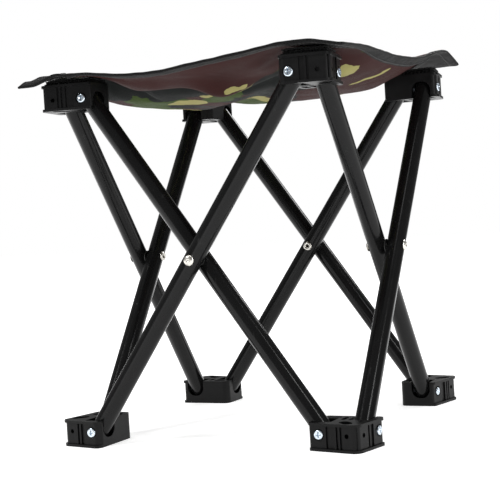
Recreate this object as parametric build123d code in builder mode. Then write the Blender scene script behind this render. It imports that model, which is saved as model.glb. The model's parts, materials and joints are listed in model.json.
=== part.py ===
"""Folding camp stool: four scissor pairs of steel tube, eight corner mouldings and a sling seat.

Frame: +Z up, the origin on the floor under the middle of the stool, +X right, +Y back.
The four faces are the same face turned in quarter turns about Z, so every piece is drawn
once for the front right corner or the front face and then turned to its place.
"""

from math import atan2, degrees, hypot, radians, sqrt, tan
import os

from build123d import *

# ---------------------------------------------------------------- driving dimensions (mm)
FOOT_PIVOT_Z = 13.0          # pivot screws of the feet above the floor
RISE = 284.0                 # from the pivots of the feet to the pivots of the top corners
HALF_SPAN = 101.0            # pivots from the middle of their face, along the face
OUTER_PLANE = 129.0          # middle of the outer tubes from the middle of the stool
INNER_PLANE = 112.2          # middle of the inner tubes from the middle of the stool

TUBE_RADIUS = 8.0
TUBE_WALL = 1.2
TUBE_END = 5.0               # tube past its pivot
RIVET_RADIUS = 2.5
RIVET_HOLE_RADIUS = 2.56
SCREW_RADIUS = 2.0
SCREW_HOLE_RADIUS = 2.06     # running fit of a tube on its screw

# corner moulding, drawn for the top front right corner with its pivots at height 0
TWIST = 11.0                 # turn of the moulding's walls about Z
CLOSED_SIDE = 13.0           # pivots to the closed face
OPEN_SIDE = 9.4              # pivots to the face that the tubes come out of
OUTER_WALL = 13.5            # tube plane to the outer wall, at the pivot
CORNER_TO_OUTER_PIVOT = 32.5
CORNER_RADIUS = 5.0          # upright edge of the outward corner
ARM_END = 9.0                # moulding past its pivots, towards the middle of the stool
OUTER_END_RADIUS = 5.0       # upright edge where the outer tube's wall ends
INNER_END_RADIUS = 2.5       # the same edge beside the inner tube
INSIDE_RADIUS = 6.0          # upright edge of the inside corner
LIP_REACH = 1.5
LIP_HEIGHT = 2.2
SLOT_HALF_WIDTH = 8.8
SLOT_RADIUS = 10.4           # round end of a slot, about the pivot
SLOT_RIM_RADIUS = 6.0        # rounds the end of a slot across the tube
SLOT_ROOF_RADIUS = 8.0       # rounds the roof of a slot along the arm
SLOT_MOUTH = 8.9             # slot past its pivot at the open face
WEB_TOP = 5.5                # roof of a slot above its pivot, where the tube swings
CUTTER_REACH = 30.0          # past the moulding's open sides
SIDE_HOLE_FROM_CORNER = 9.8  # spare blind hole of each wall
SIDE_HOLE_RADIUS = 1.9
SIDE_HOLE_DEPTH = 2.6
OUTER_GROOVES = ((17.3, 2.2), (22.3, 4.0))               # middle from the corner, and width
INNER_GROOVES = ((15.0, 2.0), (18.6, 2.0), (25.3, 7.4))
GROOVE_DEPTH = 1.2
CORNER_NOTCH = (1.4, 1.8)    # width and size across of the notch down the outward corner
CORE_DEPTH = 15.0            # cored openings of the open face
CORES = (((123.5, -123.5), (15.0, 8.5), -45), ((98.5, -104.0), (13.0, 5.0), 90),
         ((104.0, -115.4), (12.0, 4.0), 0))      # middle, length and width, turn

# pivot screws
HEAD_RADIUS = 4.0
HEAD_HEIGHT = 2.2
HEAD_EDGE = 1.1
HEAD_SINK = 1.0              # head below the wall, in its spot face
SPOT_GAP = 0.8
SCREW_LENGTH = 24.0
CROSS_DEPTH = 1.7
CROSS_TOP = (4.4, 1.1)       # length and width of the recess at the head's face
CROSS_BOTTOM = (1.8, 0.7)

# crossing rivets and spacers
RIVET_HEAD_RADIUS = 4.5
RIVET_DOME = 1.5             # height of the domed outer head
RIVET_DIMPLE_RADIUS = 1.4
RIVET_DIMPLE_DEPTH = 0.5
RIVET_ROLL_RADIUS = 4.3      # rolled inner head
RIVET_ROLL = 1.5
RIVET_BORE_RADIUS = 1.5
SPACER_RADIUS = 6.0

# sling seat
SEAT_HALF = 146.0            # middle of the stool to the hem
SEAT_Z = 317.6               # underside of the sheet over the corners
SEAT_THICKNESS = 1.4
HEM_WIDTH = 6.0
HEM_THICKNESS = 2.4
SEAT_SAG = 31.0              # middle of the seat below its corners
HEM_SAG = 7.0                # middle of a hem below its corners
SAG_REACH = 92.0             # the sheet is level outside this distance
SEAM_GAP = 0.3               # each half of the sheet from the middle line
PATCH_LEG = 46.0
PATCH_THICKNESS = 0.8
GRID_PITCH = 15.0            # spacing of the points that shape the sheet

# seat fixings
POCKET_THICKNESS = 1.2
POCKET_GROW = 2.5            # pocket past the moulding's outer walls
POCKET_SHORT = 1.0           # pocket short of the moulding's arm ends
SEAT_SCREW_AT = (113.2, -113.2)
SEAT_SCREW_RADIUS = 1.75
SEAT_SCREW_DEPTH = 8.0
SEAT_SCREW_GAP = 0.1
SEAT_HEAD_RADIUS = 3.4
SEAT_HEAD_HEIGHT = 2.0
SEAT_HEAD_EDGE = 0.9
SEAT_WASHER_RADIUS = 6.5
SEAT_WASHER_THICKNESS = 0.8

CORNERS = ("front_right", "back_right", "back_left", "front_left")
FACES = ("front", "right", "back", "left")

TOP_PIVOT_Z = FOOT_PIVOT_Z + RISE
TUBE_TILT = degrees(atan2(2 * HALF_SPAN, RISE))
TUBE_PIVOTS = hypot(2 * HALF_SPAN, RISE)
BRACKET_TOP_Z = TOP_PIVOT_Z + CLOSED_SIDE

os.makedirs("parts", exist_ok=True)


def write(part, name, quarter_turns=0):
    """Turns a finished piece to its face or corner, labels it and writes it."""
    placed = part.rotate(Axis.Z, 90 * quarter_turns)
    placed.label = name
    export_step(placed, f"parts/{name}.step")


# ---------------------------------------------------------------- tubes
def tube(plane_y, tilt):
    """One tube of the front face, between its pivots, tilted about Y."""
    middle = Plane(origin=(0, plane_y, FOOT_PIVOT_Z + RISE / 2)).rotated((0, tilt, 0))
    length = TUBE_PIVOTS + 2 * TUBE_END
    with BuildPart() as piece:
        with BuildSketch(middle.offset(-length / 2)):
            Circle(TUBE_RADIUS)
            Circle(TUBE_RADIUS - TUBE_WALL, mode=Mode.SUBTRACT)
        extrude(amount=length)
        for offset, radius in ((-TUBE_PIVOTS / 2, SCREW_HOLE_RADIUS), (0, RIVET_HOLE_RADIUS),
                               (TUBE_PIVOTS / 2, SCREW_HOLE_RADIUS)):
            centre = middle.offset(offset).origin
            with BuildSketch(Plane(origin=centre, x_dir=(1, 0, 0), z_dir=(0, -1, 0))):
                Circle(radius)
            extrude(amount=2 * TUBE_RADIUS, both=True, mode=Mode.SUBTRACT)
    return piece.part


for turn, face in enumerate(FACES):
    write(tube(-OUTER_PLANE, TUBE_TILT), f"outer_tube_{face}", turn)
    write(tube(-INNER_PLANE, -TUBE_TILT), f"inner_tube_{face}", turn)


# ---------------------------------------------------------------- crossing rivets and spacers
OUTER_SURFACE = OUTER_PLANE + TUBE_RADIUS
INNER_SURFACE = INNER_PLANE - TUBE_RADIUS
GRIP = OUTER_SURFACE - INNER_SURFACE
CROSSING_Z = FOOT_PIVOT_Z + RISE / 2


def crossing_rivet():
    """Tubular rivet of the front face: a dimpled dome outside, a rolled hollow end inside."""
    profile = Plane(origin=(0, -OUTER_SURFACE, CROSSING_Z), x_dir=(0, 1, 0), z_dir=(-1, 0, 0))
    dimple_edge = (-RIVET_DOME, RIVET_DIMPLE_RADIUS)
    rim = (0, RIVET_HEAD_RADIUS)
    roll_rim = (GRIP, RIVET_ROLL_RADIUS)
    roll_top = (GRIP + RIVET_ROLL, (RIVET_ROLL_RADIUS + RIVET_BORE_RADIUS) / 2)
    roll_mouth = (GRIP + RIVET_ROLL / 3, RIVET_BORE_RADIUS)
    with BuildPart() as piece:
        with BuildSketch(profile):
            with BuildLine():
                Line((-RIVET_DOME + RIVET_DIMPLE_DEPTH, 0), (GRIP / 2, 0))
                Polyline((GRIP / 2, 0), (GRIP / 2, RIVET_BORE_RADIUS), roll_mouth)
                ThreePointArc(roll_mouth, roll_top, roll_rim)
                Polyline(roll_rim, (GRIP, RIVET_RADIUS), (0, RIVET_RADIUS), rim)
                ThreePointArc(rim, (-RIVET_DOME * 0.75, RIVET_HEAD_RADIUS * 0.72), dimple_edge)
                Line(dimple_edge, (-RIVET_DOME + RIVET_DIMPLE_DEPTH, 0))
            make_face()
        revolve(axis=Axis((0, 0, CROSSING_Z), (0, 1, 0)))
    return piece.part


def crossing_spacer():
    """Washer between the outer and the inner tube of the front face."""
    gap = OUTER_PLANE - INNER_PLANE - 2 * TUBE_RADIUS
    side = Plane(origin=(0, -INNER_PLANE - TUBE_RADIUS, CROSSING_Z),
                 x_dir=(1, 0, 0), z_dir=(0, -1, 0))
    with BuildPart() as piece:
        with BuildSketch(side):
            Circle(SPACER_RADIUS)
            Circle(RIVET_HOLE_RADIUS, mode=Mode.SUBTRACT)
        extrude(amount=gap)
    return piece.part


for turn, face in enumerate(FACES):
    write(crossing_rivet(), f"crossing_rivet_{face}", turn)
    write(crossing_spacer(), f"crossing_spacer_{face}", turn)


# ---------------------------------------------------------------- corner mouldings
# The outer slot holds an outer tube on the -Y side, the inner slot an inner tube on the +X side.
# A screw enters each side square to its wall plane; these planes look out of the moulding.
OUTER_SIDE = Plane(origin=(HALF_SPAN, -OUTER_PLANE - OUTER_WALL, 0), x_dir=(1, 0, 0),
                   z_dir=(0, -1, 0))
INNER_SIDE = Plane(origin=(INNER_PLANE + OUTER_WALL, -HALF_SPAN, 0), x_dir=(0, 1, 0),
                   z_dir=(1, 0, 0))
WALL_CORNER = (Vector(HALF_SPAN, -OUTER_PLANE - OUTER_WALL, 0)
               + Vector(CORNER_TO_OUTER_PIVOT, 0, 0).rotate(Axis.Z, TWIST))


def wall_plane(height):
    """Plane at a height, with its origin at the moulding's outward corner and along its walls."""
    along = Vector(1, 0, 0).rotate(Axis.Z, TWIST)
    return Plane(origin=WALL_CORNER + Vector(0, 0, height), x_dir=along, z_dir=(0, 0, 1))


def outline(level, grow=0.0, past=0.0):
    """Outline at a height: two walls about the outward corner, ended square to the stool's faces."""
    corner = WALL_CORNER + Vector(grow, -grow, 0).rotate(Axis.Z, TWIST)
    slope = tan(radians(TWIST))
    low = HALF_SPAN - ARM_END - past
    inside = Vector(low, -low, 0)
    outer_end = Vector(low, corner.Y + (low - corner.X) * slope, 0)
    inner_end = Vector(corner.X + (low + corner.Y) * slope, -low, 0)
    with BuildSketch(Plane.XY.offset(level)) as flat:
        with BuildLine():
            Polyline(inside, outer_end, corner, inner_end, inside)
        make_face()
        for place, radius in ((corner, CORNER_RADIUS + grow), (outer_end, OUTER_END_RADIUS),
                              (inner_end, INNER_END_RADIUS), (inside, INSIDE_RADIUS)):
            fillet(flat.vertices().sort_by_distance(place)[0], radius)
    return flat.sketch


def slot_cutter(flat, pivot_x, towards):
    """Room for a tube in a vertical plane: a round end about the pivot, an arched way along
    the arm, and open below."""
    mouth = pivot_x - towards * SLOT_MOUTH
    open_end = pivot_x + towards * CUTTER_REACH
    along = Plane(origin=flat.from_local_coords((pivot_x, 0, 0)), x_dir=flat.z_dir * -towards,
                  z_dir=flat.x_dir * towards)
    with BuildPart() as room:
        with BuildSketch(flat):
            with Locations((pivot_x, 0)):
                Circle(SLOT_RADIUS)
        extrude(amount=SLOT_HALF_WIDTH, both=True)
        fillet(room.edges().filter_by(GeomType.CIRCLE), SLOT_RIM_RADIUS)
        with BuildSketch(along) as arch:
            with BuildLine():
                Polyline((-SLOT_HALF_WIDTH, -CUTTER_REACH), (SLOT_HALF_WIDTH, -CUTTER_REACH),
                         (SLOT_HALF_WIDTH, WEB_TOP), (-SLOT_HALF_WIDTH, WEB_TOP),
                         (-SLOT_HALF_WIDTH, -CUTTER_REACH))
            make_face()
            fillet(arch.vertices().group_by(Axis.Y)[-1], SLOT_ROOF_RADIUS)
        extrude(amount=CUTTER_REACH)
        with BuildSketch(flat):
            with BuildLine():
                Polyline((mouth, 0), (mouth, -CUTTER_REACH), (open_end, -CUTTER_REACH),
                         (open_end, 0), (mouth, 0))
            make_face()
        extrude(amount=SLOT_HALF_WIDTH, both=True)
    return room.part


def wall_grooves(level):
    """Upright grooves of both walls, and the notch down the outward corner."""
    apex = CORNER_RADIUS * (1 - sqrt(0.5))
    with BuildSketch(wall_plane(level)) as flat:
        for middle, width in OUTER_GROOVES:
            with Locations((-middle, 0)):
                Rectangle(width, 2 * GROOVE_DEPTH)
        for middle, width in INNER_GROOVES:
            with Locations((0, middle)):
                Rectangle(2 * GROOVE_DEPTH, width)
        with Locations(Location((-apex, apex), 45)):
            Rectangle(*CORNER_NOTCH)
    return flat.sketch


def corner_moulding():
    """Top front right corner moulding, closed above and open below, pivots at height 0."""
    height = CLOSED_SIDE + OPEN_SIDE
    with BuildPart() as piece:
        extrude(outline(-OPEN_SIDE), amount=height)
        for level in (-OPEN_SIDE, CLOSED_SIDE - LIP_HEIGHT):
            extrude(outline(level, LIP_REACH), amount=LIP_HEIGHT)
        extrude(wall_grooves(-OPEN_SIDE + LIP_HEIGHT), amount=height - 2 * LIP_HEIGHT,
                mode=Mode.SUBTRACT)
        # slots for the two tubes
        outer_flat = Plane(origin=(0, -OUTER_PLANE, 0), x_dir=(1, 0, 0), z_dir=(0, -1, 0))
        inner_flat = Plane(origin=(INNER_PLANE, 0, 0), x_dir=(0, 1, 0), z_dir=(1, 0, 0))
        add(slot_cutter(outer_flat, HALF_SPAN, -1), mode=Mode.SUBTRACT)
        add(slot_cutter(inner_flat, -HALF_SPAN, 1), mode=Mode.SUBTRACT)
        # screw holes, with a spot face square to each screw
        for side in (OUTER_SIDE, INNER_SIDE):
            with BuildSketch(side):
                Circle(SCREW_RADIUS)
            extrude(amount=-SCREW_LENGTH, mode=Mode.SUBTRACT)
            with BuildSketch(side.offset(-HEAD_SINK)):
                Circle(HEAD_RADIUS + SPOT_GAP)
            extrude(amount=HEAD_SINK + LIP_REACH + HEAD_HEIGHT, mode=Mode.SUBTRACT)
        # cored openings of the open face
        with BuildSketch(Plane.XY.offset(-OPEN_SIDE)):
            for middle, size, turned in CORES:
                with Locations(Location(middle, turned)):
                    SlotOverall(*size)
        extrude(amount=CORE_DEPTH, mode=Mode.SUBTRACT)
        # spare blind hole of each wall
        middle = wall_plane(0)
        for place, outward in (((-SIDE_HOLE_FROM_CORNER, 0, 0), -middle.y_dir),
                               ((0, SIDE_HOLE_FROM_CORNER, 0), middle.x_dir)):
            with BuildSketch(Plane(origin=middle.from_local_coords(place), z_dir=outward)):
                Circle(SIDE_HOLE_RADIUS)
            extrude(amount=-SIDE_HOLE_DEPTH, mode=Mode.SUBTRACT)
        # hole of the seat screw in the closed face
        with BuildSketch(Plane.XY.offset(CLOSED_SIDE)):
            with Locations(SEAT_SCREW_AT):
                Circle(SEAT_SCREW_RADIUS)
        extrude(amount=-SEAT_SCREW_DEPTH, mode=Mode.SUBTRACT)
    return piece.part


def cross(plane, length, width):
    """Cross outline of a screw's recess."""
    with BuildSketch(plane) as outline_of_cross:
        Rectangle(length, width)
        Rectangle(width, length)
    return outline_of_cross.sketch


def pivot_screw(side):
    """Pan head screw with a tapered cross recess, its head sunk in the spot face of a wall."""
    face = side.offset(HEAD_HEIGHT - HEAD_SINK)
    with BuildPart() as piece:
        with BuildSketch(side.offset(-SCREW_LENGTH)):
            Circle(SCREW_RADIUS)
        extrude(amount=SCREW_LENGTH - HEAD_SINK)
        with BuildSketch(side.offset(-HEAD_SINK)):
            Circle(HEAD_RADIUS)
        extrude(amount=HEAD_HEIGHT)
        outward = Axis(side.origin, side.z_dir)
        fillet(piece.edges().filter_by(GeomType.CIRCLE).sort_by(outward)[-1], HEAD_EDGE)
        loft([cross(face, *CROSS_TOP), cross(face.offset(-CROSS_DEPTH), *CROSS_BOTTOM)],
             mode=Mode.SUBTRACT)
    return piece.part


def at_top(part):
    return part.moved(Location((0, 0, TOP_PIVOT_Z)))


def at_foot(part):
    """The same moulding turned over about its corner's diagonal, which swaps its two sides."""
    flipped = part.rotate(Axis((0, 0, 0), (1, -1, 0)), 180)
    return flipped.moved(Location((0, 0, FOOT_PIVOT_Z)))


moulding = corner_moulding()
outer_screw = pivot_screw(OUTER_SIDE)
inner_screw = pivot_screw(INNER_SIDE)
for turn, corner in enumerate(CORNERS):
    write(at_top(moulding), f"top_bracket_{corner}", turn)
    write(at_top(outer_screw), f"top_outer_screw_{corner}", turn)
    write(at_top(inner_screw), f"top_inner_screw_{corner}", turn)
    write(at_foot(moulding), f"foot_{corner}", turn)
    write(at_foot(outer_screw), f"foot_outer_screw_{corner}", turn)
    write(at_foot(inner_screw), f"foot_inner_screw_{corner}", turn)


# ---------------------------------------------------------------- seat fixings
POCKET_Z = BRACKET_TOP_Z


def corner_pocket():
    """Webbing pocket of the seat, screwed flat on the closed face of a top bracket."""
    with BuildPart() as piece:
        extrude(outline(POCKET_Z, POCKET_GROW, -POCKET_SHORT), amount=POCKET_THICKNESS)
        with BuildSketch(Plane.XY.offset(POCKET_Z)):
            with Locations(SEAT_SCREW_AT):
                Circle(SEAT_SCREW_RADIUS + SEAT_SCREW_GAP)
        extrude(amount=POCKET_THICKNESS, mode=Mode.SUBTRACT)
    return piece.part


WASHER_Z = POCKET_Z + POCKET_THICKNESS


def seat_washer():
    """Washer that spreads the seat screw's load over the pocket."""
    with BuildPart() as piece:
        with BuildSketch(Plane.XY.offset(WASHER_Z)):
            with Locations(SEAT_SCREW_AT):
                Circle(SEAT_WASHER_RADIUS)
                Circle(SEAT_SCREW_RADIUS + SEAT_SCREW_GAP, mode=Mode.SUBTRACT)
        extrude(amount=SEAT_WASHER_THICKNESS)
    return piece.part


def seat_screw():
    """Low button head screw through the washer and the pocket into the bracket."""
    head_z = WASHER_Z + SEAT_WASHER_THICKNESS
    shank = head_z - (BRACKET_TOP_Z - SEAT_SCREW_DEPTH)
    with BuildPart() as piece:
        with BuildSketch(Plane.XY.offset(head_z)):
            with Locations(SEAT_SCREW_AT):
                Circle(SEAT_SCREW_RADIUS)
        extrude(amount=-shank)
        with BuildSketch(Plane.XY.offset(head_z)):
            with Locations(SEAT_SCREW_AT):
                Circle(SEAT_HEAD_RADIUS)
        extrude(amount=SEAT_HEAD_HEIGHT)
        fillet(piece.edges().sort_by(Axis.Z)[-1], SEAT_HEAD_EDGE)
    return piece.part


for turn, corner in enumerate(CORNERS):
    write(corner_pocket(), f"seat_pocket_{corner}", turn)
    write(seat_washer(), f"seat_washer_{corner}", turn)
    write(seat_screw(), f"seat_screw_{corner}", turn)


# ---------------------------------------------------------------- sling seat
def slack(distance):
    """1 on the middle line, falling smoothly to 0 where the sheet is level."""
    share = min(abs(distance) / SAG_REACH, 1.0)
    return (1 - share**2) ** 2


def seat_height(x, y):
    """Underside of the sheet: level over the corners, hollow between them."""
    along, across = slack(x), slack(y)
    hem = HEM_SAG * (along * (1 - across) + across * (1 - along))
    return SEAT_Z - hem - SEAT_SAG * along * across


def sheet_strip(x_low, x_high, y_low, y_high, thickness):
    """Closed solid that follows the seat between two limits each way."""
    steps_x = max(4, round((x_high - x_low) / GRID_PITCH))
    steps_y = max(4, round((y_high - y_low) / GRID_PITCH))
    rows = []
    for i in range(steps_x + 1):
        x = x_low + (x_high - x_low) * i / steps_x
        column = []
        for j in range(steps_y + 1):
            y = y_low + (y_high - y_low) * j / steps_y
            column.append(Vector(x, y, seat_height(x, y)))
        rows.append(column)
    skin = Face.make_surface_from_array_of_points(rows)
    return Solid.extrude(skin, Vector(0, 0, thickness))


SHEET_HALF = SEAT_HALF - HEM_WIDTH


def seat_sheet():
    """Front half of the sheet."""
    with BuildPart() as piece:
        add(sheet_strip(-SHEET_HALF, SHEET_HALF, -SHEET_HALF, -SEAM_GAP, SEAT_THICKNESS))
    return piece.part


def seat_binding():
    """Binding along the three outer edges of the front half, a little thicker than the sheet."""
    start = SHEET_HALF + 0.2
    with BuildPart() as piece:
        add(sheet_strip(-SEAT_HALF, SEAT_HALF, -SEAT_HALF, -start, HEM_THICKNESS))
        add(sheet_strip(-SEAT_HALF, -start, -start, -SEAM_GAP, HEM_THICKNESS))
        add(sheet_strip(start, SEAT_HALF, -start, -SEAM_GAP, HEM_THICKNESS))
    return piece.part


def corner_patch():
    """Triangular patch on the sheet at the front right corner."""
    edge = SHEET_HALF - 0.5
    with BuildPart() as piece:
        with BuildSketch(Plane.XY.offset(SEAT_Z + SEAT_THICKNESS + 0.05)):
            with BuildLine():
                Polyline((edge, -edge), (edge, -edge + PATCH_LEG), (edge - PATCH_LEG, -edge),
                         (edge, -edge))
            make_face()
        extrude(amount=PATCH_THICKNESS)
    return piece.part


for turn, half in ((0, "front"), (2, "back")):
    write(seat_sheet(), f"seat_sheet_{half}", turn)
    write(seat_binding(), f"seat_binding_{half}", turn)
for turn, corner in enumerate(CORNERS):
    write(corner_patch(), f"corner_patch_{corner}", turn)
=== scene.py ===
"""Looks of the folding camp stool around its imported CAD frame: materials, and the sewn sling seat.

Everything is in metres in the stool's own frame. The seat's shape is worked out in millimetres.
"""

import json
import math

import bpy
import numpy as np
from mathutils import Matrix, Vector, noise


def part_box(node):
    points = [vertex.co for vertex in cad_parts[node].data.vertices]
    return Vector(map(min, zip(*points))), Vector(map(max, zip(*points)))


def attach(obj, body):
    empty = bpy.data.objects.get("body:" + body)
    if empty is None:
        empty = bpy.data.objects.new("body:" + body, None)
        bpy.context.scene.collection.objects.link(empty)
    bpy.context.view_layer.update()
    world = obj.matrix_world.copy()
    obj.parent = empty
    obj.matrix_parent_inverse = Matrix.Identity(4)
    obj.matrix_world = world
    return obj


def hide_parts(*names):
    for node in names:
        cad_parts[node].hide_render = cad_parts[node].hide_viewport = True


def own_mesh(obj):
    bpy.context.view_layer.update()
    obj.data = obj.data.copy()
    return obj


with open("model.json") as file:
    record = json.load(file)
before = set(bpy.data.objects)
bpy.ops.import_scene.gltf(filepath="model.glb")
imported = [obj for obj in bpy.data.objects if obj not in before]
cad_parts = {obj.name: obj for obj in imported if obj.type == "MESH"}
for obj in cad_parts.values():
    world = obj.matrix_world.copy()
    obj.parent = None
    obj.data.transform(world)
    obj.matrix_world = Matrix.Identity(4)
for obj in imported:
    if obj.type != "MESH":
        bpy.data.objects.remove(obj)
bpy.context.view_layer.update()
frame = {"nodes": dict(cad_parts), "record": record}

MM = 0.001
CORNERS = ("front_right", "back_right", "back_left", "front_left")


# ---------------------------------------------------------------- shader building
class Surface:
    """A Principled material, and short calls that add its nodes."""

    def __init__(self, name, **constants):
        self.material = bpy.data.materials.new(name)
        self.material.use_nodes = True
        self.tree = self.material.node_tree
        self.shader = self.tree.nodes["Principled BSDF"]
        for socket, value in constants.items():
            self.shader.inputs[socket.replace("_", " ")].default_value = value

    def add(self, kind, inputs=None, output=0, **settings):
        made = self.tree.nodes.new(kind)
        for key, value in settings.items():
            setattr(made, key, value)
        for key, value in (inputs or {}).items():
            self.join(value, made.inputs[key])
        return made.outputs[output]

    def join(self, value, socket):
        if isinstance(value, bpy.types.NodeSocket):
            self.tree.links.new(value, socket)
        else:
            socket.default_value = value

    def place(self):
        """Coordinates fixed to a rigid piece."""
        return self.add("ShaderNodeTexCoord", output="Object")

    def cloth(self):
        """Coordinates fixed to the cloth, in metres along and across it."""
        return self.add("ShaderNodeAttribute", output="Vector", attribute_name="cloth")

    def math(self, operation, first, second=0.0):
        return self.add("ShaderNodeMath", {0: first, 1: second}, operation=operation)

    def vector(self, operation, first, second):
        return self.add("ShaderNodeVectorMath", {0: first, 1: second}, operation=operation)

    def noise(self, place, scale, detail=2.0, output="Fac"):
        return self.add("ShaderNodeTexNoise", {"Vector": place, "Scale": scale, "Detail": detail},
                        output=output)

    def mapped(self, value, low, high, to_low, to_high):
        names = {"Value": value, "From Min": low, "From Max": high, "To Min": to_low,
                 "To Max": to_high}
        return self.add("ShaderNodeMapRange", names)

    def mix(self, share, first, second):
        made = self.tree.nodes.new("ShaderNodeMix")
        made.data_type = "RGBA"
        for socket, value in ((0, share), (6, first), (7, second)):
            self.join(value, made.inputs[socket])
        return made.outputs[2]

    def bump(self, height, distance, strength=1.0, below=None):
        inputs = {"Height": height, "Distance": distance, "Strength": strength}
        if below is not None:
            inputs["Normal"] = below
        return self.add("ShaderNodeBump", inputs, output="Normal")

    def show(self, **sockets):
        for socket, value in sockets.items():
            self.join(value, self.shader.inputs[socket.replace("_", " ")])
        return self.material


def grey(value, blue=1.0):
    return (value, value, value * blue, 1.0)


# ---------------------------------------------------------------- hard materials
def powder_coat():
    """Satin black paint of the tubes: fine orange peel, faint scuffs."""
    made = Surface("satin_black_paint", Specular_IOR_Level=0.19)
    place = made.place()
    patches = made.noise(place, 60.0, 4.0)
    peel = made.noise(place, 900.0, 3.0)
    scuffs = made.noise(made.vector("MULTIPLY", place, (260.0, 260.0, 40.0)), 1.0, 5.0)
    worn = made.mapped(scuffs, 0.66, 0.74, 0.0, 1.0)
    colour = made.mix(patches, grey(0.0040), grey(0.0062, 1.04))
    colour = made.mix(made.math("MULTIPLY", worn, 0.5), colour, grey(0.022))
    rough = made.math("ADD", made.mapped(patches, 0.3, 0.7, 0.13, 0.19),
                      made.math("MULTIPLY", worn, 0.12))
    return made.show(Base_Color=colour, Roughness=rough, Normal=made.bump(peel, 0.00003, 0.4))


def moulded_plastic():
    """Semi-gloss black plastic with a spark-eroded grain and dull flow marks."""
    made = Surface("black_moulded_plastic", Specular_IOR_Level=0.15)
    place = made.place()
    grain = made.noise(place, 1400.0, 2.0)
    flow = made.noise(made.vector("MULTIPLY", place, (1.0, 1.0, 2.6)), 45.0, 3.0)
    colour = made.mix(flow, grey(0.0035), grey(0.0065, 1.04))
    rough = made.mapped(flow, 0.3, 0.7, 0.30, 0.42)
    return made.show(Base_Color=colour, Roughness=rough, Normal=made.bump(grain, 0.00008, 0.6))


def plated(name, colour, rough, tarnish):
    """Plated fastener metal: slightly uneven shine, fine turning marks and a little tarnish."""
    made = Surface(name, Metallic=1.0)
    place = made.place()
    cloud = made.noise(place, 700.0, 3.0)
    marks = made.noise(place, 5200.0, 2.0)
    shade = made.mix(made.mapped(cloud, 0.45, 0.75, 0.0, 0.7), colour, tarnish)
    return made.show(Base_Color=shade, Roughness=made.mapped(cloud, 0.3, 0.8, rough, rough + 0.14),
                     Normal=made.bump(marks, 0.00004, 0.4))


def nylon():
    """Dull black washer between two tubes."""
    made = Surface("black_nylon", Specular_IOR_Level=0.35)
    grain = made.noise(made.place(), 800.0, 3.0)
    return made.show(Base_Color=made.mix(grain, grey(0.014), grey(0.03)),
                     Roughness=made.mapped(grain, 0.2, 0.8, 0.45, 0.6),
                     Normal=made.bump(grain, 0.00008, 0.5))


# ---------------------------------------------------------------- cloth materials
def weave(made, place, threads, depth):
    """Bump of a plain weave, its threads crossing over and under each other."""
    along = made.add("ShaderNodeSeparateXYZ", {"Vector": place}, output="X")
    across = along.node.outputs["Y"]
    warp = made.math("SINE", made.math("MULTIPLY", along, threads))
    weft = made.math("SINE", made.math("MULTIPLY", across, threads))
    over = made.math("MULTIPLY", warp, weft)
    return over, made.bump(over, depth, 0.7)


# Colours of the print, linear
COLOURS = {
    "maroon": (0.037, 0.0135, 0.0125, 1.0),
    "green": (0.038, 0.062, 0.012, 1.0),
    "khaki": (0.30, 0.275, 0.105, 1.0),
    "dark": (0.0115, 0.0130, 0.0125, 1.0),
}
# Printed shapes of the underside: colour, middle and half lengths in mm, turn in degrees
PRINTS = (
    ("maroon", (24, -114), (104, 38), 0),
    ("maroon", (112, 30), (44, 130), 0),
    ("maroon", (60, -4), (34, 22), 30),
    # The long dark band behind the front fold is dark print and also painted shade of the groove
    # behind that fold.
    ("dark", (-60, -70), (76, 13), -2),
    ("dark", (52, -56), (36, 22), 0),
    ("dark", (18, -24), (38, 18), 20),
    ("green", (-78, -49), (25, 13), 4),
    ("green", (-13, -43), (15, 12), 0),
    ("green", (-98, -112), (28, 4), -8),
    ("khaki", (-43, -42), (17, 12), 2),
    ("khaki", (25, -84), (9, 3.5), 28),
    ("khaki", (116, -60), (9, 9), 0),
    ("khaki", (118, -13), (18, 3.5), 12),
)
# The rest of the print, from noise: colour, offset, scale of the noise, level where it starts
SCATTER = (
    ("green", 3.1, 17.0, 0.53),
    ("dark", 7.7, 21.0, 0.58),
    ("khaki", 12.3, 24.0, 0.63),
)
PRINT_WANDER = 22.0          # how far the edges of the printed shapes wander (mm)
PRINT_EDGE = 0.003           # softness of the edges of the scattered shapes


def blob(made, place, middle, half, turn):
    """1 inside an ellipse of the print, else 0."""
    mapping = {"Vector": place, "Location": (middle[0] * MM, middle[1] * MM, 0.0),
               "Rotation": (0.0, 0.0, math.radians(turn)),
               "Scale": (half[0] * MM, half[1] * MM, 1.0)}
    local = made.add("ShaderNodeMapping", mapping, vector_type="TEXTURE")
    reach = made.add("ShaderNodeVectorMath", {0: local}, output="Value", operation="LENGTH")
    return made.mapped(reach, 0.99, 1.01, 1.0, 0.0)


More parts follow.
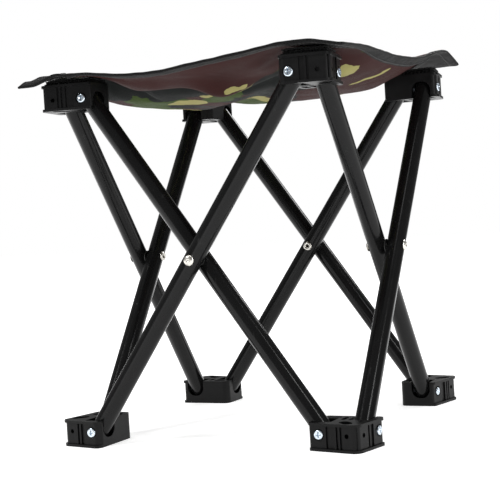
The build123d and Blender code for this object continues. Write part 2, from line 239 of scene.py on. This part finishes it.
def camouflage():
    """Woodland print on coated polyester: four colours with crisp, wandering edges, and a weave,
    whose hollows are darkened as painted shade.
    """
    made = Surface("camouflage_polyester", Specular_IOR_Level=0.04)
    flat = made.vector("MULTIPLY", made.cloth(), (1.0, 1.0, 0.0))
    wander = made.noise(flat, 55.0, 3.0, "Color")
    shift = made.vector("SUBTRACT", wander, (0.5, 0.5, 0.5))
    amount = (PRINT_WANDER * MM, PRINT_WANDER * MM, 0.0)
    place = made.vector("ADD", flat, made.vector("MULTIPLY", shift, amount))
    colour = COLOURS["maroon"]
    for tone, offset, scale, level in SCATTER:
        field = made.noise(made.vector("ADD", place, (offset, offset, 0.0)), scale, 1.0)
        share = made.mapped(field, level - PRINT_EDGE, level + PRINT_EDGE, 0.0, 1.0)
        colour = made.mix(share, colour, COLOURS[tone])
    for tone, middle, half, turn in PRINTS:
        colour = made.mix(blob(made, place, middle, half, turn), colour, COLOURS[tone])
    fade = made.noise(flat, 30.0, 4.0)
    over, normal = weave(made, flat, 7400.0, 0.00012)
    # The fade is the print's own uneven tone. The weave term is painted shade: lighter where threads
    # pass over, darker in the hollows between them.
    shade = made.math("ADD", made.mapped(fade, 0.3, 0.7, 0.9, 1.08),
                      made.math("MULTIPLY", over, 0.10))
    colour = made.vector("SCALE", colour, (0.0, 0.0, 0.0))
    made.join(shade, colour.node.inputs["Scale"])
    return made.show(Base_Color=colour, Roughness=made.mapped(fade, 0.3, 0.7, 0.52, 0.66),
                     Normal=normal)


def black_cloth(name, threads, depth, tone, rib=None):
    """Black woven cloth or tape, with painted shade in the hollows of its weave. A rib gives it
    raised cords across its length.
    """
    made = Surface(name, Specular_IOR_Level=0.10, Sheen_Weight=0.03, Sheen_Roughness=0.35)
    flat = made.cloth()
    over, normal = weave(made, flat, threads, depth)
    if rib:
        along = made.add("ShaderNodeSeparateXYZ", {"Vector": flat}, output="X")
        cords = made.math("SINE", made.math("MULTIPLY", along, rib))
        normal = made.bump(cords, depth * 1.5, 0.8, normal)
    dust = made.noise(flat, 120.0, 4.0)
    # Painted shade of the weave: darker in the hollows between threads, lighter where they pass
    # over.
    low = made.mix(over, grey(tone * 0.75), grey(tone * 1.15, 1.04))
    colour = made.mix(made.mapped(dust, 0.45, 0.8, 0.0, 0.5), low, grey(tone * 2.0, 0.97))
    return made.show(Base_Color=colour, Roughness=made.mapped(dust, 0.3, 0.7, 0.55, 0.72),
                     Normal=normal)


def thread():
    """Twisted polyester sewing thread."""
    made = Surface("sewing_thread", Specular_IOR_Level=0.4, Sheen_Weight=0.2)
    twist = made.noise(made.place(), 3000.0, 1.0)
    return made.show(Base_Color=made.mix(twist, grey(0.010), grey(0.028)),
                     Roughness=made.mapped(twist, 0.2, 0.8, 0.4, 0.6),
                     Normal=made.bump(twist, 0.0001, 0.6))


FINISHES = {
    "tube": powder_coat(),
    "moulding": moulded_plastic(),
    "pivot_screw": plated("bright_zinc", (0.70, 0.78, 0.86, 1.0), 0.16, (0.42, 0.47, 0.52, 1.0)),
    "rivet": plated("nickel", (0.70, 0.68, 0.63, 1.0), 0.22, (0.38, 0.36, 0.33, 1.0)),
    "seat_fixing": plated("dull_zinc", (0.52, 0.53, 0.55, 1.0), 0.32, (0.3, 0.3, 0.31, 1.0)),
    "spacer": nylon(),
    "seat_fabric": camouflage(),
    "binding": black_cloth("binding_tape", 5200.0, 0.00012, 0.0048, rib=2600.0),
    "patch": black_cloth("black_oxford", 6200.0, 0.00012, 0.0052),
    "webbing": black_cloth("black_webbing", 3400.0, 0.0002, 0.006, rib=1700.0),
    "thread": thread(),
}

slot_of = {part["node"]: part["material_slot"] for part in frame["record"]["subparts"]}
for node, shown in frame["nodes"].items():
    for index in range(max(1, len(shown.material_slots))):
        if not shown.material_slots:
            shown.data.materials.append(None)
        shown.material_slots[index].link = "OBJECT"
        shown.material_slots[index].material = FINISHES[slot_of[node]]


# ---------------------------------------------------------------- shape of the seat (mm)
CAD_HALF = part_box("seat_binding_front")[1].x / MM    # middle of the stool to the CAD hem
CAD_HALF_THICKNESS = 0.7
LOOSE_EDGE = 4.5             # how far the cloth's edge stands past the CAD hem
HALF = CAD_HALF + LOOSE_EDGE
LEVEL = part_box("seat_sheet_front")[1].z / MM - CAD_HALF_THICKNESS    # sheet over the corners
BRACKET_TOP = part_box("top_bracket_front_right")[1].z / MM
HEM_RADIUS = 5.0             # round corner of the seat
HEM_REACH = 42.0             # how far a hem's rise and fall is felt
BOWL_DEPTH = 28.5
BOWL_REACH_X = 149.0         # where the hollow of the sling ends
BOWL_REACH_Y = 151.0
BOWL_FADE = (56, 96)         # the hollow fades out towards the brackets between these
CORNER_SIGNS = ((1, -1), (1, 1), (-1, 1), (-1, -1))  # of x and y, in the order of CORNERS


def through(*points):
    """Smooth curve through a few (place, value) pairs, as a function of the place."""
    places, values = np.array(points, float).T
    slopes = np.gradient(values, places)

    def at(place):
        place = np.clip(place, places[0], places[-1])
        low = np.clip(np.searchsorted(places, place) - 1, 0, len(places) - 2)
        gap = places[low + 1] - places[low]
        t = (place - places[low]) / gap
        return ((1 + 2 * t) * (1 - t) ** 2 * values[low] + t * (1 - t) ** 2 * gap * slopes[low]
                + t * t * (3 - 2 * t) * values[low + 1] + t * t * (t - 1) * gap * slopes[low + 1])

    return at


# rise of each hem over the level of the corners, along its side
FRONT_HEM = through((-146, -3.5), (-134, -3.5), (-116, -0.3), (-102, -3.6), (-87, -3.8),
                    (-50, -8.4), (-12, -10), (24, -7), (50, -4.8), (78, -2), (100, 0.6),
                    (120, 1.0), (146, -3.5))
RIGHT_HEM = through((-146, -2), (-120, -2), (-80, -3.2), (-20, -4.4), (22, -2.2), (58, 3.2),
                    (88, 9.2), (112, 11.2), (130, 7), (146, 2.5))
BACK_HEM = through((-146, 0), (-118, 1.5), (-70, -4), (0, -8.5), (64, -5), (108, 0.5), (146, 0))
LEFT_HEM = through((-146, -1.5), (-130, -1), (-114, 3), (-94, -1), (-50, -6), (0, -7.5),
                   (58, -5), (104, 1.2), (146, 0))
# fold that hangs inside the front hem: rise of its lower edge, and the groove behind it
FRONT_FOLD = through((-112, 0), (-84, -2.5), (-48, -2.5), (-12, -2.8), (12, -9.5), (26, -4.5),
                     (44, 2), (62, 5), (94, 0))
FOLD_LINE = through((-112, -100), (-12, -98), (14, -84), (94, -80))     # where that edge runs
FOLD_WIDTH = 15.0
GROOVE_BEHIND = 19.0
GROOVE_WIDTH = 9.0
GROOVE_DEPTH = 5.5
GROOVE_START = (-112, -84)   # the groove deepens between these places along the front
GROOVE_END = (52, 84)        # and dies out between these
DIAGONAL_RISE = 5.5          # tight fold from the front right corner to the back left one
DIAGONAL_WIDTH = 17.0
FLAP_DROP = 4.5              # how far the loose front left corner hangs
FLAP_BEHIND = (136.5, 149)   # it hangs more and more between these places, towards the front
FLAP_LEFT = (106, 124)       # and towards the left
CREASE_HEIGHT = 0.55         # creases that run out from each corner
CREASE_START = (46, 82)      # they rise between these distances from the corner
CREASE_END = (104, 170)      # and die out between these


def ease(value, low, high):
    """Smooth step from 0 at low to 1 at high."""
    share = np.clip((value - low) / (high - low), 0.0, 1.0)
    return share * share * (3 - 2 * share)


def bell(value, width):
    """Smooth hump: 1 at 0, and almost nothing past twice the width."""
    return np.exp(-(value / width) ** 2)


def sling(x, y):
    """Hollow of the sling: wide and flat in the middle, none at the hems or over the brackets."""
    along = np.clip(1 - np.abs(x / BOWL_REACH_X) ** 4, 0, 1) ** 1.1
    across = np.clip(1 - np.abs(y / BOWL_REACH_Y) ** 2.4, 0, 1) ** 1.5
    clear = 1 - ease(np.minimum(np.abs(x), np.abs(y)), *BOWL_FADE)
    return along * across * clear


def hems(x, y):
    """Rise and fall of the four hems, felt less and less towards the middle."""
    return (FRONT_HEM(x) * bell(HALF + y, HEM_REACH) + BACK_HEM(x) * bell(HALF - y, HEM_REACH)
            + LEFT_HEM(y) * bell(HALF + x, HEM_REACH) + RIGHT_HEM(y) * bell(HALF - x, HEM_REACH))


def front_fold(x, y):
    """Fold that hangs inside the front hem, and the groove behind it."""
    past = y - FOLD_LINE(x)
    edge = FRONT_FOLD(x) * bell(past, FOLD_WIDTH)
    groove = (GROOVE_DEPTH * bell(past - GROOVE_BEHIND, GROOVE_WIDTH) * ease(x, *GROOVE_START)
              * (1 - ease(x, *GROOVE_END)))
    return edge + groove


def creases(x, y, number, sign_x, sign_y):
    """Creases that run out from one corner like a fan. The number makes each fan different."""
    away = np.hypot(x - sign_x * HALF, y - sign_y * HALF)
    angle = np.arctan2(HALF - sign_y * y, HALF - sign_x * x)
    waves = np.sin(angle * 15 + number * 1.7) + 0.6 * np.sin(angle * 26 + number * 2.9)
    return CREASE_HEIGHT * waves * ease(away, *CREASE_START) * (1 - ease(away, *CREASE_END))


def folds(x, y):
    """All the folds: at the front, along a diagonal, at the loose corner, and out from corners."""
    diagonal = DIAGONAL_RISE * bell((x + y) / math.sqrt(2), DIAGONAL_WIDTH) * sling(x, y)
    flap = -FLAP_DROP * ease(-y, *FLAP_BEHIND) * ease(-x, *FLAP_LEFT)
    total = front_fold(x, y) + diagonal + flap
    for number, signs in enumerate(CORNER_SIGNS):
        total = total + creases(x, y, number, *signs)
    return total


# Unevenness of handled cloth: height, size of the bumps, and where in the noise it is taken
CRUMPLES = ((0.9, 34, 0.3), (0.35, 11, 5.1))


def crumple(x, y):
    """Small unevenness of handled cloth."""
    flat = np.stack([np.ravel(x), np.ravel(y)], axis=1)
    rise = [sum(tall * noise.noise((a / size, b / size, level)) for tall, size, level in CRUMPLES)
            for a, b in flat]
    return np.reshape(rise, np.shape(x))


def height(x, y):
    """Middle of the cloth's thickness over the floor, in mm."""
    x = np.asarray(x, float)
    y = np.asarray(y, float)
    quiet = 0.25 + 0.75 * ease(HALF - np.maximum(np.abs(x), np.abs(y)), 0, 25)
    return LEVEL + hems(x, y) - BOWL_DEPTH * sling(x, y) + folds(x, y) + quiet * crumple(x, y)


def rounded(x, y, half):
    """Moves the points of a square sheet near its corners so that the corners are round."""
    centre = half - HEM_RADIUS
    past_x = np.maximum(np.abs(x) - centre, 0)
    past_y = np.maximum(np.abs(y) - centre, 0)
    longest = np.maximum(past_x, past_y)
    length = np.maximum(np.hypot(past_x, past_y), 1e-9)
    share = np.where((past_x > 0) & (past_y > 0), longest / length, 1.0)
    new_x = np.sign(x) * (np.abs(x) - past_x + past_x * share)
    new_y = np.sign(y) * (np.abs(y) - past_y + past_y * share)
    return new_x, new_y


# ---------------------------------------------------------------- mesh building
def piece(name, points, faces, cloth, finish):
    """Mesh object from points in mm. cloth is each point's place along and across the cloth."""
    mesh = bpy.data.meshes.new(name)
    mesh.from_pydata([tuple(p) for p in np.asarray(points) * MM], [], faces)
    mesh.update()
    kept = mesh.attributes.new("cloth", "FLOAT_VECTOR", "POINT")
    values = np.zeros((len(points), 3), np.float32)
    values[:, :2] = np.asarray(cloth) * MM
    kept.data.foreach_set("vector", values.ravel())
    mesh.polygons.foreach_set("use_smooth", [True] * len(mesh.polygons))
    made = bpy.data.objects.new(name, mesh)
    bpy.context.scene.collection.objects.link(made)
    made.data.materials.append(FINISHES[finish])
    return made


def quads(rows, columns, start=0, flip=False):
    """Faces of a grid of rows by columns points, the first of which has the number start."""
    faces = []
    for i in range(rows - 1):
        for j in range(columns - 1):
            here = start + i * columns + j
            face = (here, here + columns, here + columns + 1, here + 1)
            faces.append(face[::-1] if flip else face)
    return faces


def slab(points, half_thickness):
    """Closed thin shell about a grid of points: its points and its faces."""
    rows, columns = points.shape[:2]
    up = np.array([0, 0, half_thickness])
    top = (points + up).reshape(-1, 3)
    bottom = (points - up).reshape(-1, 3)
    count = rows * columns
    faces = quads(rows, columns) + quads(rows, columns, count, flip=True)
    rim = ([i * columns for i in range(rows)]
           + [(rows - 1) * columns + j for j in range(1, columns)]
           + [i * columns + columns - 1 for i in range(rows - 2, -1, -1)]
           + list(range(columns - 2, 0, -1)))
    for here, there in zip(rim, rim[1:] + rim[:1]):
        faces.append((here, here + count, there + count, there))
    return np.vstack([top, bottom]), faces


def crisp_rim(made, limit=60):
    """Keeps the shading of a shell's faces apart where they meet at more than limit degrees."""
    made.data.set_sharp_from_angle(angle=math.radians(limit))


# ---------------------------------------------------------------- seat pieces
CLOTH_PITCH = 2.0            # distance between the points of the sheet's mesh
CLOTH_IN_TAPE = 1.0          # from the sheet's own edge to the outside of the tape
CLOTH_HALF_THICKNESS = 0.45


def seat_cloth(half, side):
    """Half of the sheet. side is -1 for the front half and 1 for the back half."""
    reach = HALF - CLOTH_IN_TAPE
    xs = np.linspace(-reach, reach, round(2 * reach / CLOTH_PITCH) + 1)
    ys = np.linspace(0, side * reach, round(reach / CLOTH_PITCH) + 1)
    x, y = np.meshgrid(xs, ys[::side], indexing="ij")
    x, y = rounded(x, y, reach)
    grid = np.stack([x, y, height(x, y)], axis=-1)
    points, faces = slab(grid, CLOTH_HALF_THICKNESS)
    made = piece(f"seat_cloth_{half}", points, faces, points[:, :2], "seat_fabric")
    crisp_rim(made)
    return made


HEM_PITCH = 1.6              # distance between the points along a hem
ARC_POINTS = 9               # points round a corner of the hem, with both its ends


def hem_arc(sign_x, side):
    """Spots and outward directions round a corner, from the left or right edge onwards."""
    straight = HALF - HEM_RADIUS
    arc = []
    for angle in np.linspace(0, math.pi / 2, ARC_POINTS)[1:-1]:
        out = (sign_x * math.cos(angle), side * math.sin(angle))
        spot = (sign_x * straight + HEM_RADIUS * out[0], side * straight + HEM_RADIUS * out[1])
        arc.append((spot, out))
    return arc


def hem_path(side, inset=0.0):
    """Points along the three outer edges of a half, with the outward direction at each."""
    straight = HALF - HEM_RADIUS
    leg = np.linspace(0, straight, round(straight / HEM_PITCH))
    outer = np.linspace(-straight, straight, round(2 * straight / HEM_PITCH))
    line = [((-HALF, side * t), (-1, 0)) for t in leg]
    line += hem_arc(-1, side)
    line += [((t, side * HALF), (0, side)) for t in outer]
    line += hem_arc(1, side)[::-1]
    line += [((HALF, side * t), (1, 0)) for t in leg[::-1]]
    spots = np.array([spot for spot, out in line], float)
    outs = np.array([out for spot, out in line], float)
    return spots - outs * inset, outs


# section of the tape, folded round the cloth's edge: distance in from the edge, and rise
TAPE_SECTION = ((10.6, 0.55), (10.3, 1.0), (7.4, 1.12), (3.6, 1.25), (1.2, 1.2), (0.25, 0.75),
                (0.0, 0.0), (0.25, -0.75), (1.2, -1.2), (3.6, -1.25), (7.4, -1.12), (10.3, -1.0),
                (10.6, -0.55))


def pucker(along):
    """Slight waves that the stitches draw into the tape."""
    return 0.22 * np.sin(along / 2.9) * np.sin(along / 17.0 + 1.0) + 0.14 * np.sin(along / 6.1)


def hem_tape(half, side):
    """Binding tape folded over the three outer edges of a half."""
    spots, outs = hem_path(side)
    along = np.concatenate([[0], np.cumsum(np.linalg.norm(np.diff(spots, axis=0), axis=1))])
    rings = []
    across = []
    for inward, rise in TAPE_SECTION + TAPE_SECTION[:1]:
        at = spots - outs * inward
        middle = height(at[:, 0], at[:, 1])
        puff = rise * (1 + 0.35 * pucker(along + 3 * rise)) + 0.3 * pucker(along)
        rings.append(np.stack([at[:, 0], at[:, 1], middle + puff], axis=-1))
        across.append(np.full(len(at), inward * np.sign(rise + 1e-6)))
    count = len(spots)
    sections = len(TAPE_SECTION)
    points = np.stack(rings[:-1], axis=1).reshape(-1, 3)
    cloth = np.stack([np.repeat(along, sections), np.stack(across[:-1], axis=1).ravel()], axis=-1)
    faces = []
    for i in range(count - 1):
        for j in range(sections):
            k = (j + 1) % sections
            face = (i * sections + j, (i + 1) * sections + j, (i + 1) * sections + k,
                    i * sections + k)
            faces.append(face if side < 0 else face[::-1])
    ends = tuple(range(sections))
    last = tuple((count - 1) * sections + j for j in reversed(range(sections)))
    faces += [ends, last] if side < 0 else [ends[::-1], last[::-1]]
    made = piece(f"hem_tape_{half}", points, faces, cloth, "binding")
    crisp_rim(made, 70)
    return made


STITCH_LENGTH = 2.5
STITCH_PITCH = 3.4
STITCH_SIDES = 6
STITCH_FLATTENED = 0.8       # height of a thread over its width
# rings of points along a stitch: place as a share of its length from its middle, and radius
STITCH_RINGS = ((-0.5, 0.05), (-0.4, 0.24), (0.0, 0.32), (0.4, 0.24), (0.5, 0.05))


def stitch_points(ends):
    """Rings of points round one stitch between two ends."""
    middle = (ends[0] + ends[1]) / 2
    along = (ends[1] - ends[0]) / np.linalg.norm(ends[1] - ends[0])
    side = np.cross(along, (0, 0, 1))
    up = np.cross(side, along)
    points = []
    for place, radius in STITCH_RINGS:
        for turn in range(STITCH_SIDES):
            angle = turn * 2 * math.pi / STITCH_SIDES
            offset = (side * math.cos(angle) * radius
                      + up * math.sin(angle) * radius * STITCH_FLATTENED)
            points.append(middle + along * place * STITCH_LENGTH + offset)
    return points


def stitch_faces(first):
    """Faces of one stitch, whose first point has the number first."""
    faces = []
    rings = len(STITCH_RINGS)
    for ring in range(rings - 1):
        for turn in range(STITCH_SIDES):
            here = first + ring * STITCH_SIDES + turn
            there = first + ring * STITCH_SIDES + (turn + 1) % STITCH_SIDES
            faces.append((here, there, there + STITCH_SIDES, here + STITCH_SIDES))
    faces.append(tuple(first + k for k in reversed(range(STITCH_SIDES))))
    faces.append(tuple(first + (rings - 1) * STITCH_SIDES + k for k in range(STITCH_SIDES)))
    return faces


def stitches(name, rows):
    """Sewn stitches along rows of (x, y, z) points, each stitch a short bowed thread."""
    points = []
    faces = []
    for row in rows:
        row = np.asarray(row, float)
        along = np.concatenate([[0], np.cumsum(np.linalg.norm(np.diff(row, axis=0), axis=1))])
        for start in np.arange(STITCH_PITCH / 2, along[-1] - STITCH_PITCH / 2, STITCH_PITCH):
            ends = [np.array([np.interp(s, along, row[:, k]) for k in range(3)])
                    for s in (start - STITCH_LENGTH / 2, start + STITCH_LENGTH / 2)]
            faces += stitch_faces(len(points))
            points += stitch_points(ends)
    return piece(name, points, faces, np.array(points)[:, :2], "thread")


HEM_STITCH_INSET = 8.6       # from the edge of the tape
HEM_STITCH_LIFT = 1.12       # from the middle of the sheet


def hem_rows(side):
    """Stitch rows on the tape, above and below the sheet."""
    rows = []
    for lift in (HEM_STITCH_LIFT, -HEM_STITCH_LIFT):
        spots = hem_path(side, HEM_STITCH_INSET)[0]
        rise = height(spots[:, 0], spots[:, 1]) + lift
        rows.append(np.column_stack([spots, rise]))
    return rows


PATCH_LEG = 56.0             # patch along each hem, from the corner
PATCH_INSET = 2.0            # from the edge of the tape
PATCH_LIFT = 0.85            # from the middle of the sheet
PATCH_HALF_THICKNESS = 0.32
PATCH_TURNED_EDGE = 0.18     # how much more a patch stands off along its turned edge
PATCH_STITCH_LIFT = 1.35
PATCH_STITCH_ROWS = (1.6, 4.4)       # distances from the long edge


def patch_grid(sign_x, sign_y, lift, rows=26, columns=40):
    """Grid over the triangle of a corner patch, from near the corner to its long edge."""
    out = np.linspace(0.05, 1.0, rows)[:, None]
    across = np.linspace(0.0, 1.0, columns)[None, :]
    x = HALF - PATCH_INSET - out * PATCH_LEG * (1 - across)
    y = HALF - PATCH_INSET - out * PATCH_LEG * across
    x, y = rounded(x, y, HALF - PATCH_INSET)
    x = x * sign_x
    y = y * sign_y
    turned = 1 + PATCH_TURNED_EDGE * ease(out, 0.9, 0.93)
    return np.stack([x, y, height(x, y) + lift * turned], axis=-1)


def corner_patch(corner, sign_x, sign_y):
    """Triangular patch above and below the sheet, with a turned long edge."""
    points = []
    faces = []
    for lift in (PATCH_LIFT, -PATCH_LIFT):
        grid = patch_grid(sign_x, sign_y, lift)
        more, sides = slab(grid, PATCH_HALF_THICKNESS)
        if sign_x * sign_y > 0:
            sides = [face[::-1] for face in sides]
        faces += [tuple(len(points) + k for k in face) for face in sides]
        points += list(more)
    points = np.array(points)
    made = piece(f"corner_panel_{corner}", points, faces, points[:, :2], "patch")
    crisp_rim(made)
    return made


def patch_rows(sign_x, sign_y):
    """Two stitch rows beside the long edge of a patch, above and below."""
    rows = []
    across = np.linspace(0.1, 0.9, 40)
    for lift in (PATCH_STITCH_LIFT, -PATCH_STITCH_LIFT):
        for back in PATCH_STITCH_ROWS:
            leg = PATCH_LEG - back * math.sqrt(2)
            x = sign_x * (HALF - PATCH_INSET - leg * (1 - across))
            y = sign_y * (HALF - PATCH_INSET - leg * across)
            rows.append(np.column_stack([x, y, height(x, y) + lift]))
    return rows


# folded webbing on the front right bracket, within the moulding's outline
WEBBING_OUTLINE = ((94.0, -94.0), (94.0, -139.5), (98.0, -142.0), (128.5, -136.0), (131.0, -132.5),
                   (123.5, -96.5), (121.5, -94.0))
# layers of the webbing: bottom and top over the bracket, how far in it lies, how much it waves
WEBBING_LAYERS = ((0.05, 1.55, 0.0, 0.0), (1.7, 3.3, 1.6, 0.25), (3.45, 5.0, 0.7, 0.25))
WEBBING_EDGE = (0.35, 0.5)   # rounding of a layer's edges: down and in
WEBBING_BELOW_SHEET = 1.9    # space kept for the sheet and the patch under it
WEBBING_STEPS = 10           # points along each side of the outline, with both its ends


def webbing_ring():
    """Points round the outline of the webbing, and the outline's middle."""
    outline = np.array(WEBBING_OUTLINE)
    steps = []
    for here, there in zip(outline, np.roll(outline, -1, axis=0)):
        for share in np.linspace(0, 1, WEBBING_STEPS)[:-1]:
            steps.append(here + (there - here) * share)
    return np.array(steps), outline.mean(axis=0)


def corner_webbing(corner, quarter_turns):
    """Folded webbing between a top bracket and the sheet: layers with rounded edges."""
    turned = np.linalg.matrix_power(np.array([[0, -1], [1, 0]]), quarter_turns)
    ring, middle = webbing_ring()
    away = ring - middle
    length = np.linalg.norm(away, axis=1, keepdims=True)
    count = len(ring)
    down, inward = WEBBING_EDGE
    points = []
    faces = []
    for number, (base, top, inset, waves) in enumerate(WEBBING_LAYERS):
        first = len(points)
        bends = waves * np.sin(np.arange(count) * 0.5 + number * 2)
        levels = ((base, inset + inward), (base + down, inset), (top - down, inset),
                  (top, inset + inward))
        for lift, shrink in levels:
            at = middle + away * (1 - shrink / length)
            for (x, y), bend in zip(at @ turned.T, bends):
                ceiling = float(height(x, y)) - WEBBING_BELOW_SHEET
                z = min(BRACKET_TOP + lift + bend, max(ceiling, BRACKET_TOP + lift * 0.5))
                points.append((x, y, z))
        for level in range(len(levels) - 1):
            for k in range(count):
                here = first + level * count + k
                there = first + level * count + (k + 1) % count
                faces.append((here, there, there + count, here + count))
        bottom = tuple(first + k for k in range(count))
        lid = tuple(first + (len(levels) - 1) * count + k for k in range(count))
        faces += [bottom[::-1], lid]
    points = np.array(points)
    made = piece(f"corner_webbing_{corner}", points, faces, points[:, :2], "webbing")
    crisp_rim(made, 50)
    return made


# ---------------------------------------------------------------- seat on its bodies
SIGNS = dict(zip(CORNERS, CORNER_SIGNS))


def on_seat(made, half):
    """Rides on a half of the seat, with a mesh of its own."""
    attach(made, f"seat_{half}")
    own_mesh(made)


for half, side in (("front", -1), ("back", 1)):
    cloth = seat_cloth(half, side)
    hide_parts(f"seat_sheet_{half}")
    on_seat(cloth, half)
    tape = hem_tape(half, side)
    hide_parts(f"seat_binding_{half}")
    on_seat(tape, half)
    sewn = stitches(f"hem_stitches_{half}", hem_rows(side))
    on_seat(sewn, half)
    trim = [tape, sewn]
    for corner in (c for c in CORNERS if c.startswith(half)):
        patch = corner_patch(corner, *SIGNS[corner])
        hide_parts(f"corner_patch_{corner}")
        on_seat(patch, half)
        seam = stitches(f"patch_stitches_{corner}", patch_rows(*SIGNS[corner]))
        on_seat(seam, half)
        trim += [patch, seam]

for turns, corner in enumerate(CORNERS):
    webbing = corner_webbing(corner, turns)
    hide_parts(f"seat_pocket_{corner}")
    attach(webbing, f"top_{corner}")


# ---------------------------------------------------------------- floor, light and camera
FLOOR_REACH = 6.0
FLOOR_GLOW = (0.5, 1.6, 0.55, 1.0)   # from one distance to another, glow grows between two levels
WORLD_LIGHT = 0.26           # brightness of the surroundings as a light; they are shown at 1


def studio_floor():
    """Large pale floor, brighter far away so that no horizon shows."""
    reach = FLOOR_REACH
    mesh = bpy.data.meshes.new("floor")
    mesh.from_pydata([(-reach, -reach, 0), (reach, -reach, 0), (reach, reach, 0),
                      (-reach, reach, 0)], [], [(0, 1, 2, 3)])
    made = bpy.data.objects.new("floor", mesh)
    bpy.context.scene.collection.objects.link(made)
    paint = Surface("pale_floor", Roughness=0.9, Specular_IOR_Level=0.05)
    away = paint.add("ShaderNodeVectorMath", {0: paint.place()}, output="Value",
                     operation="LENGTH")
    glow = paint.mapped(away, *FLOOR_GLOW)
    made.data.materials.append(paint.show(Base_Color=grey(0.9), Emission_Color=grey(1.0),
                                          Emission_Strength=glow))


def softbox(name, place, aim, size, power):
    """Rectangular area light that looks at a point."""
    lamp = bpy.data.lights.new(name, "AREA")
    lamp.shape = "RECTANGLE"
    lamp.size, lamp.size_y = size
    lamp.energy = power
    made = bpy.data.objects.new(name, lamp)
    bpy.context.scene.collection.objects.link(made)
    made.location = place
    made.rotation_euler = (Vector(aim) - Vector(place)).to_track_quat("-Z", "Y").to_euler()


def studio_world():
    """White surroundings, dimmer as a light than as a background."""
    world = bpy.data.worlds.new("studio")
    bpy.context.scene.world = world
    world.use_nodes = True
    tree = world.node_tree
    shade = tree.nodes["Background"]
    rays = tree.nodes.new("ShaderNodeLightPath")
    level = tree.nodes.new("ShaderNodeMapRange")
    level.inputs["To Min"].default_value = WORLD_LIGHT
    level.inputs["To Max"].default_value = 1.0
    tree.links.new(rays.outputs["Is Camera Ray"], level.inputs["Value"])
    tree.links.new(level.outputs[0], shade.inputs["Strength"])
    shade.inputs["Color"].default_value = grey(1.0)


CAMERA_PLACE = (0.4961, -1.0238, 0.1886)
CAMERA_TURN = 26.38          # to the left of straight ahead (degrees)
CAMERA_DOWN = 1.59           # below the horizontal
CAMERA_ROLL = -3.48
FOCAL_LENGTH = 90.1
SENSOR_WIDTH = 36.0


def photo_camera():
    """Low camera, under the level of the seat, in front and to the right of the stool."""
    lens = bpy.data.cameras.new("camera")
    lens.lens = FOCAL_LENGTH
    lens.sensor_width = SENSOR_WIDTH
    made = bpy.data.objects.new("camera", lens)
    bpy.context.scene.collection.objects.link(made)
    turn = math.radians(CAMERA_TURN)
    tilt = math.radians(90 - CAMERA_DOWN)
    roll = math.radians(CAMERA_ROLL)
    made.matrix_world = (Matrix.Translation(CAMERA_PLACE)
                         @ Matrix.Rotation(turn, 4, "Z") @ Matrix.Rotation(tilt, 4, "X")
                         @ Matrix.Rotation(roll, 4, "Z"))
    bpy.context.scene.camera = made


MIDDLE = (0.0, 0.0, 0.18)    # where the lamps point

studio_floor()
studio_world()
softbox("key", (-1.1, -1.5, 1.5), MIDDLE, (0.35, 0.9), 22)
softbox("fill", (1.9, -0.7, 0.9), MIDDLE, (0.16, 1.6), 14)
softbox("back", (0.3, 1.8, 1.4), MIDDLE, (1.6, 0.4), 20)
softbox("top", (0.0, 0.0, 2.2), MIDDLE, (1.6, 1.6), 24)
photo_camera()
bpy.context.scene.view_settings.view_transform = "Standard"
